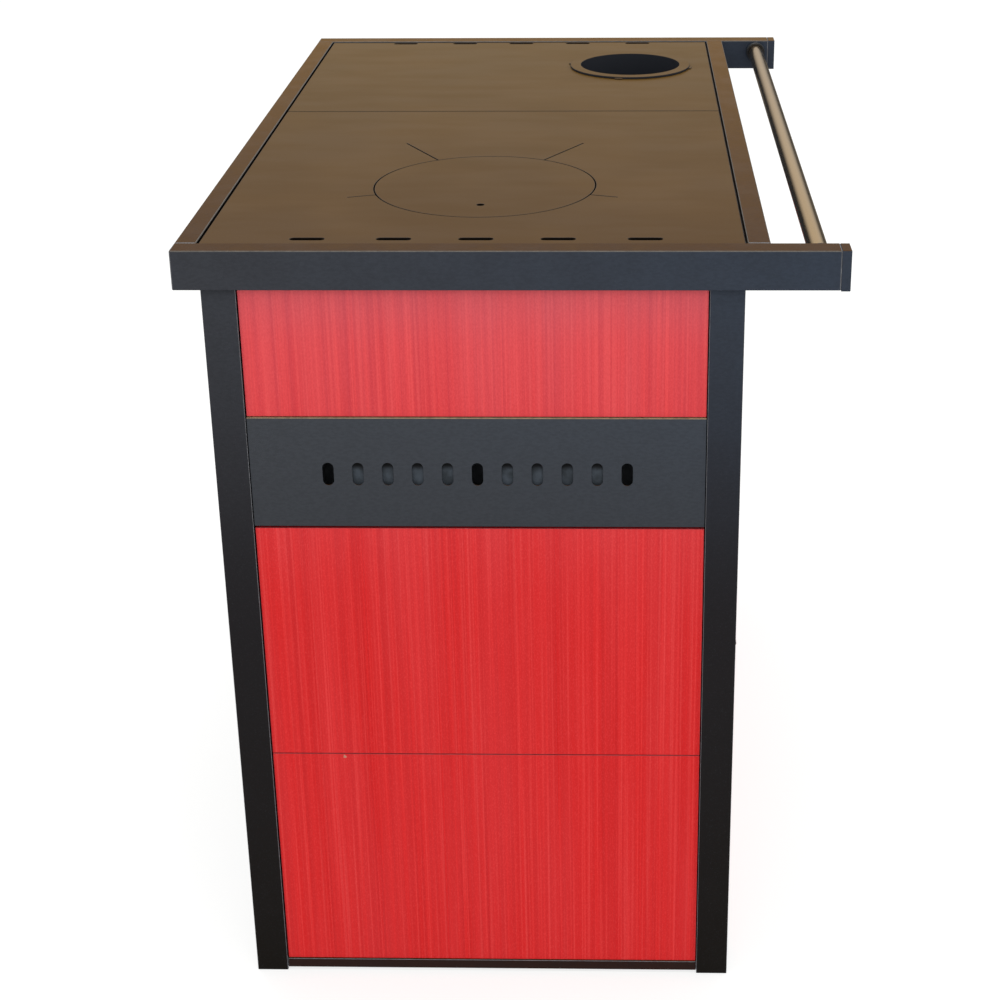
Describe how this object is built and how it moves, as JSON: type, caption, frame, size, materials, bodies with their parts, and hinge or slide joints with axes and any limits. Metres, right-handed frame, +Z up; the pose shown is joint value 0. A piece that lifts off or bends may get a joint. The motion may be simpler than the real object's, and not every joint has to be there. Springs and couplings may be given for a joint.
{
  "type": "wood-burning cook stove",
  "caption": "Steel wood-burning cook stove with a lift-out hob disc, flue collar, towel rail, fire door, ash drawer, oven with drop-down door and wood drawer.",
  "frame": {"origin": "on the floor, under the middle of the stove's outline with its towel rail", "axes": "+Z up, -Y towards the front with the towel rail and doors, +X to the right as seen from the front"},
  "size_m": [1, 0.65, 0.8515],
  "materials": {
    "frame_black": "satin powder coat, slate black",
    "hob_steel": "heat-resistant satin coat on steel plate",
    "rail_steel": "bright drawn steel",
    "trim_black": "matt black",
    "red_panel": "red with fine vertical streaks, satin",
    "inner_steel": "plain sheet steel",
    "cast_iron": "black cast iron",
    "firebrick": "pale fireclay",
    "glass": "heat-proof glass",
    "seal": "woven glass rope",
    "oven_enamel": "dark enamel",
    "chrome": "bright plated wire"
  },
  "bodies": {
    "stove": {"left_hob_bar": "frame_black", "right_hob_bar": "frame_black", "front_hob_bar": "frame_black", "rear_hob_bar": "frame_black", "bar_end_caps": "frame_black", "left_hob_plate": "hob_steel", "right_hob_plate": "hob_steel", "flue_collar": "hob_steel", "towel_rail": "rail_steel", "rail_ferrules": "trim_black", "front_left_post": "frame_black", "front_right_post": "frame_black", "rear_left_post": "frame_black", "rear_right_post": "frame_black", "base_pan": "frame_black", "middle_shelf": "inner_steel", "front_plate": "inner_steel", "fascia": "frame_black", "left_upper_panel": "red_panel", "left_vent_strip": "frame_black", "left_middle_panel": "red_panel", "left_lower_panel": "red_panel", "left_vent_baffle": "inner_steel", "right_upper_panel": "red_panel", "right_vent_strip": "frame_black", "right_middle_panel": "red_panel", "right_lower_panel": "red_panel", "right_vent_baffle": "inner_steel", "rear_cover": "frame_black", "inner_casing": "inner_steel", "smoke_walls": "inner_steel", "firebricks": "firebrick", "grate_frame": "cast_iron", "fire_grate": "cast_iron", "hinge_brackets": "inner_steel", "oven_box": "oven_enamel"},
    "fire_door": {"fire_door": "cast_iron", "fire_door_pins": "inner_steel", "fire_glass": "glass", "glass_clips": "inner_steel", "fire_door_seal": "seal"},
    "fire_door_lever": {"fire_door_handle": "rail_steel"},
    "ash_drawer": {"ash_drawer_front": "red_panel", "ash_pan": "inner_steel"},
    "air_wheel": {"air_wheel": "trim_black"},
    "oven_door": {"oven_door": "red_panel", "oven_door_pins": "inner_steel", "oven_glass": "glass", "oven_seal": "seal", "oven_door_handle": "rail_steel", "thermometer": "chrome"},
    "needle": {"thermometer_needle": "trim_black"},
    "oven_rack": {"oven_rack": "chrome"},
    "baking_tray": {"baking_tray": "oven_enamel"},
    "wood_drawer": {"wood_drawer_front": "red_panel", "wood_drawer_box": "inner_steel", "wood_drawer_handle": "rail_steel"},
    "damper": {"damper_flap": "inner_steel", "damper_knob": "trim_black"},
    "hob_disc": {"hob_disc": "hob_steel"}
  },
  "joints": [
    {"name": "fire_door_hinge", "type": "hinge", "parent": "stove", "child": "fire_door", "pos_m": [-0.441, -0.216, 0.548], "axis": [0, 0, -1], "range_deg": [0, 105]},
    {"name": "fire_door_lever_turn", "type": "hinge", "parent": "fire_door", "child": "fire_door_lever", "pos_m": [-0.108, -0.216, 0.548], "axis": [0, -1, 0], "range_deg": [0, 80]},
    {"name": "ash_drawer_slide", "type": "slide", "parent": "stove", "child": "ash_drawer", "axis": [0, -1, 0], "range_m": [0, 0.3]},
    {"name": "air_wheel_turn", "type": "hinge", "parent": "ash_drawer", "child": "air_wheel", "pos_m": [-0.2605, -0.228, 0.351], "axis": [0, -1, 0], "range_deg": [0, 60]},
    {"name": "oven_door_hinge", "type": "hinge", "parent": "stove", "child": "oven_door", "pos_m": [0.19425, -0.216, 0.297], "axis": [1, 0, 0], "range_deg": [0, 90]},
    {"name": "needle_turn", "type": "hinge", "parent": "oven_door", "child": "needle", "pos_m": [0.19425, -0.222, 0.614], "axis": [0, 1, 0], "range_deg": [0, 260]},
    {"name": "oven_rack_slide", "type": "slide", "parent": "stove", "child": "oven_rack", "axis": [0, -1, 0], "range_m": [0, 0.035]},
    {"name": "baking_tray_slide", "type": "slide", "parent": "stove", "child": "baking_tray", "axis": [0, -1, 0], "range_m": [0, 0.035]},
    {"name": "wood_drawer_slide", "type": "slide", "parent": "stove", "child": "wood_drawer", "axis": [0, -1, 0], "range_m": [0, 0.4]},
    {"name": "damper_turn", "type": "hinge", "parent": "stove", "child": "damper", "pos_m": [0.23, -0.2, 0.7386], "axis": [0, -1, 0], "range_deg": [0, 90]},
    {"name": "hob_disc_lift", "type": "slide", "parent": "stove", "child": "hob_disc", "axis": [0, 0, 1], "range_m": [0, 0.15]}
  ]
}
